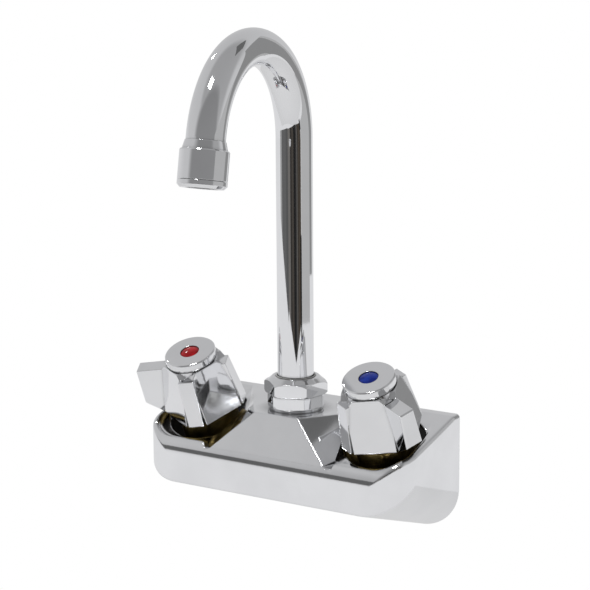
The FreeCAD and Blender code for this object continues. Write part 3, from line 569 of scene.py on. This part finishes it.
# Name, start and end angle, lower edge, upper edge, grey tone and warmth.
SCREENS = (
    ("left edge screen", -97, -84, LEFT_EDGE, SCREEN_TOP, 0.33, 0.0),
    ("left screen", -84, -54, LEFT_EDGE, SCREEN_TOP, 0.11, 0.0),
    ("left middle screen", -54, -40, LEFT_EDGE, SCREEN_TOP, 0.085, 0.0),
    ("seam screen", -40, -26, POINTED_EDGE, SCREEN_TOP, 0.14, 0.06),
    ("dark stripe 1", -26, -17, POINTED_EDGE, SCREEN_TOP, 0.024, 0.12),
    ("brown stripe 1", -17, -5, POINTED_EDGE, SCREEN_TOP, 0.046, 0.15),
    ("black stripe", -5, 7, POINTED_EDGE, SCREEN_TOP, 0.008, 0.0),
    ("dark stripe 2", 7, 13, POINTED_EDGE, SCREEN_TOP, 0.034, 0.0),
    ("grey stripe", 13, 19, POINTED_EDGE, SCREEN_TOP, 0.088, 0.08),
    ("dark stripe 3", 19, 25, POINTED_EDGE, SCREEN_TOP, 0.022, 0.20),
    ("brown stripe 2", 25, 31, POINTED_EDGE, SCREEN_TOP, 0.050, 0.28),
    ("dark stripe 4", 31, 37, POINTED_EDGE, SCREEN_TOP, 0.022, 0.25),
    ("blackest stripe", 37, 43.5, (-0.062, 0.0), 0.03, 0.004, 0.0),
    ("pale stripe", 37, 41, (0.03, 0.0), SCREEN_TOP, 0.12, 0.15),
    ("grey screen", 43, 106, (-0.035, 0.0), 0.25, 0.43, 0.0),
    ("far right screen", 106, 133, (0.0, 0.0), 0.50, 0.25, 0.0),
    ("far right edge screen", 133, 139, (0.0, 0.0), 0.50, 0.42, 0.0),
)


def show_only_in_mirrors(sheet):
    """Shows a sheet only in reflections."""
    sheet.visible_camera = False
    sheet.visible_diffuse = False
    sheet.visible_shadow = False


def glowing_grey(name, grey, warmth=0.0):
    """Gives an even light of one tone. Warmth adds to its red and takes from its blue."""
    material, _, shader = new_material(name)
    shader.inputs["Base Color"].default_value = (0.0, 0.0, 0.0, 1.0)
    shader.inputs["Roughness"].default_value = 1.0
    set_glow(shader, (grey * (1.0 + warmth), grey, grey * (1.0 - warmth)))
    return material


def make_screen(name, start, end, lower_edge, high, grey, warmth):
    """Curved screen between two angles, measured to the right of the camera's direction."""
    low, rise = lower_edge
    steps = max(FEWEST_STEPS, int((end - start) / SCREEN_STEP))
    points = []
    for k in range(steps + 1):
        turn = start + (end - start) * k / steps
        angle = math.radians(CAMERA_TURN + turn)
        x = FAUCET_MIDDLE[0] + SCREEN_DISTANCE * math.sin(angle)
        y = FAUCET_MIDDLE[1] - SCREEN_DISTANCE * math.cos(angle)
        points += [(x, y, low + rise * abs(turn - POINT_ANGLE)), (x, y, high)]
    faces = [(2 * k, 2 * k + 2, 2 * k + 3, 2 * k + 1) for k in range(steps)]
    show_only_in_mirrors(make_staged(name, points, faces, glowing_grey(name, grey, warmth)))


for screen in SCREENS:
    make_screen(*screen)
print("screens made:", len(SCREENS))

# %% [markdown]
# ## Card overhead and wall behind
# A small dark card overhead gives the right facet of the hump its shade. The faucet hangs on a
# wall, and its cover is open at the back, so the gap beside each valve should look into the dark. A
# dark sheet just behind the cover stands for that wall. It is one-sided: from behind it is clear,
# so that the inside of the cover can still be seen.

# %% Overhead card and shaded wall
CARD_MIDDLE = (0.13, 0.11, 0.49)
CARD_HALF = 0.06
CARD_GREY = 0.12
WALL_GAP = 0.0003
WALL_HALF = 0.071
WALL_LOW = -0.010
WALL_HIGH = 0.024
WALL_GREY = 0.012


def make_one_sided(material):
    """Leaves out the back of a sheet, so that it hides nothing from behind."""
    tree = material.node_tree
    output = output_of(tree)
    front = output.inputs["Surface"].links[0].from_socket
    side = tree.nodes.new("ShaderNodeNewGeometry")
    clear = tree.nodes.new("ShaderNodeBsdfTransparent")
    mix_shaders(tree, side.outputs["Backfacing"], front, clear.outputs["BSDF"], output)
    return material


card = make_square("overhead card", CARD_MIDDLE, CARD_HALF, glowing_grey("overhead card", CARD_GREY))
show_only_in_mirrors(card)
wall_corners = [(-WALL_HALF, WALL_GAP, WALL_LOW), (WALL_HALF, WALL_GAP, WALL_LOW),
                (WALL_HALF, WALL_GAP, WALL_HIGH), (-WALL_HALF, WALL_GAP, WALL_HIGH)]
wall_finish = make_one_sided(glowing_grey("shaded wall", WALL_GREY))
shaded_wall = make_staged("shaded wall", wall_corners, [(0, 1, 2, 3)], wall_finish)
shaded_wall.visible_diffuse = False
shaded_wall.visible_shadow = False
print("made:", card.name, "and", shaded_wall.name)

# %% [markdown]
# ## Lamps
# A soft box high in front lights the duller pieces and draws the long white glint on the gooseneck.
# A small lamp on the left, behind and above, adds small glints to the chrome.

# %% Lamps
# Name, place, what it is aimed at, width and height in metres, power in watts.
LAMPS = (
    ("top soft box", (-0.08, -0.80, 1.75), (0.0, -0.05, 0.08), (0.45, 0.30), 9.0),
    ("small lamp", (-0.82, 0.22, 0.88), (0.0, -0.03, 0.05), (0.07, 0.07), 1.0),
)


def make_lamp(name, place, target, size, power):
    data = bpy.data.lights.new(name, "AREA")
    data.shape = "RECTANGLE"
    data.size, data.size_y = size
    data.energy = power
    lamp = bpy.data.objects.new(name, data)
    bpy.context.scene.collection.objects.link(lamp)
    lamp.location = place
    aim = Vector(target) - Vector(place)
    lamp.rotation_euler = aim.to_track_quat("-Z", "Y").to_euler()


for lamp in LAMPS:
    make_lamp(*lamp)
print("lamps made:", len(LAMPS))

# %% [markdown]
# ## Camera
# The camera is a long lens a little to the right and above, level to within half a degree. Its
# place was found by matching the centres of the handles, the tube's outline and the cover's edges.

# %% Camera
CAMERA_PLACE = Vector((0.51473, -0.82489, 0.27935))
CAMERA_HEIGHT_ANGLE = 11.57
CAMERA_ROLL = -0.39
LENS_MM = 123.2
SENSOR_MM = 36.0
CLIP_START = 0.01


def make_camera():
    turn = math.radians(CAMERA_TURN)
    lift = math.radians(CAMERA_HEIGHT_ANGLE)
    roll = math.radians(CAMERA_ROLL)
    forward = Vector((-math.sin(turn) * math.cos(lift), math.cos(turn) * math.cos(lift), -math.sin(lift)))
    level = Vector((math.cos(turn), math.sin(turn), 0.0))
    upright = level.cross(forward)
    right = math.cos(roll) * level + math.sin(roll) * upright
    top = -math.sin(roll) * level + math.cos(roll) * upright
    data = bpy.data.cameras.new("camera")
    data.lens = LENS_MM
    data.sensor_width = SENSOR_MM
    data.sensor_fit = "HORIZONTAL"
    data.clip_start = CLIP_START
    camera = bpy.data.objects.new("camera", data)
    bpy.context.scene.collection.objects.link(camera)
    axes = Matrix((right, top, -forward)).transposed().to_4x4()
    camera.matrix_world = Matrix.Translation(CAMERA_PLACE) @ axes
    bpy.context.scene.camera = camera


make_camera()
bpy.context.scene.view_settings.view_transform = "Standard"
print("camera made: lens", LENS_MM, "mm")
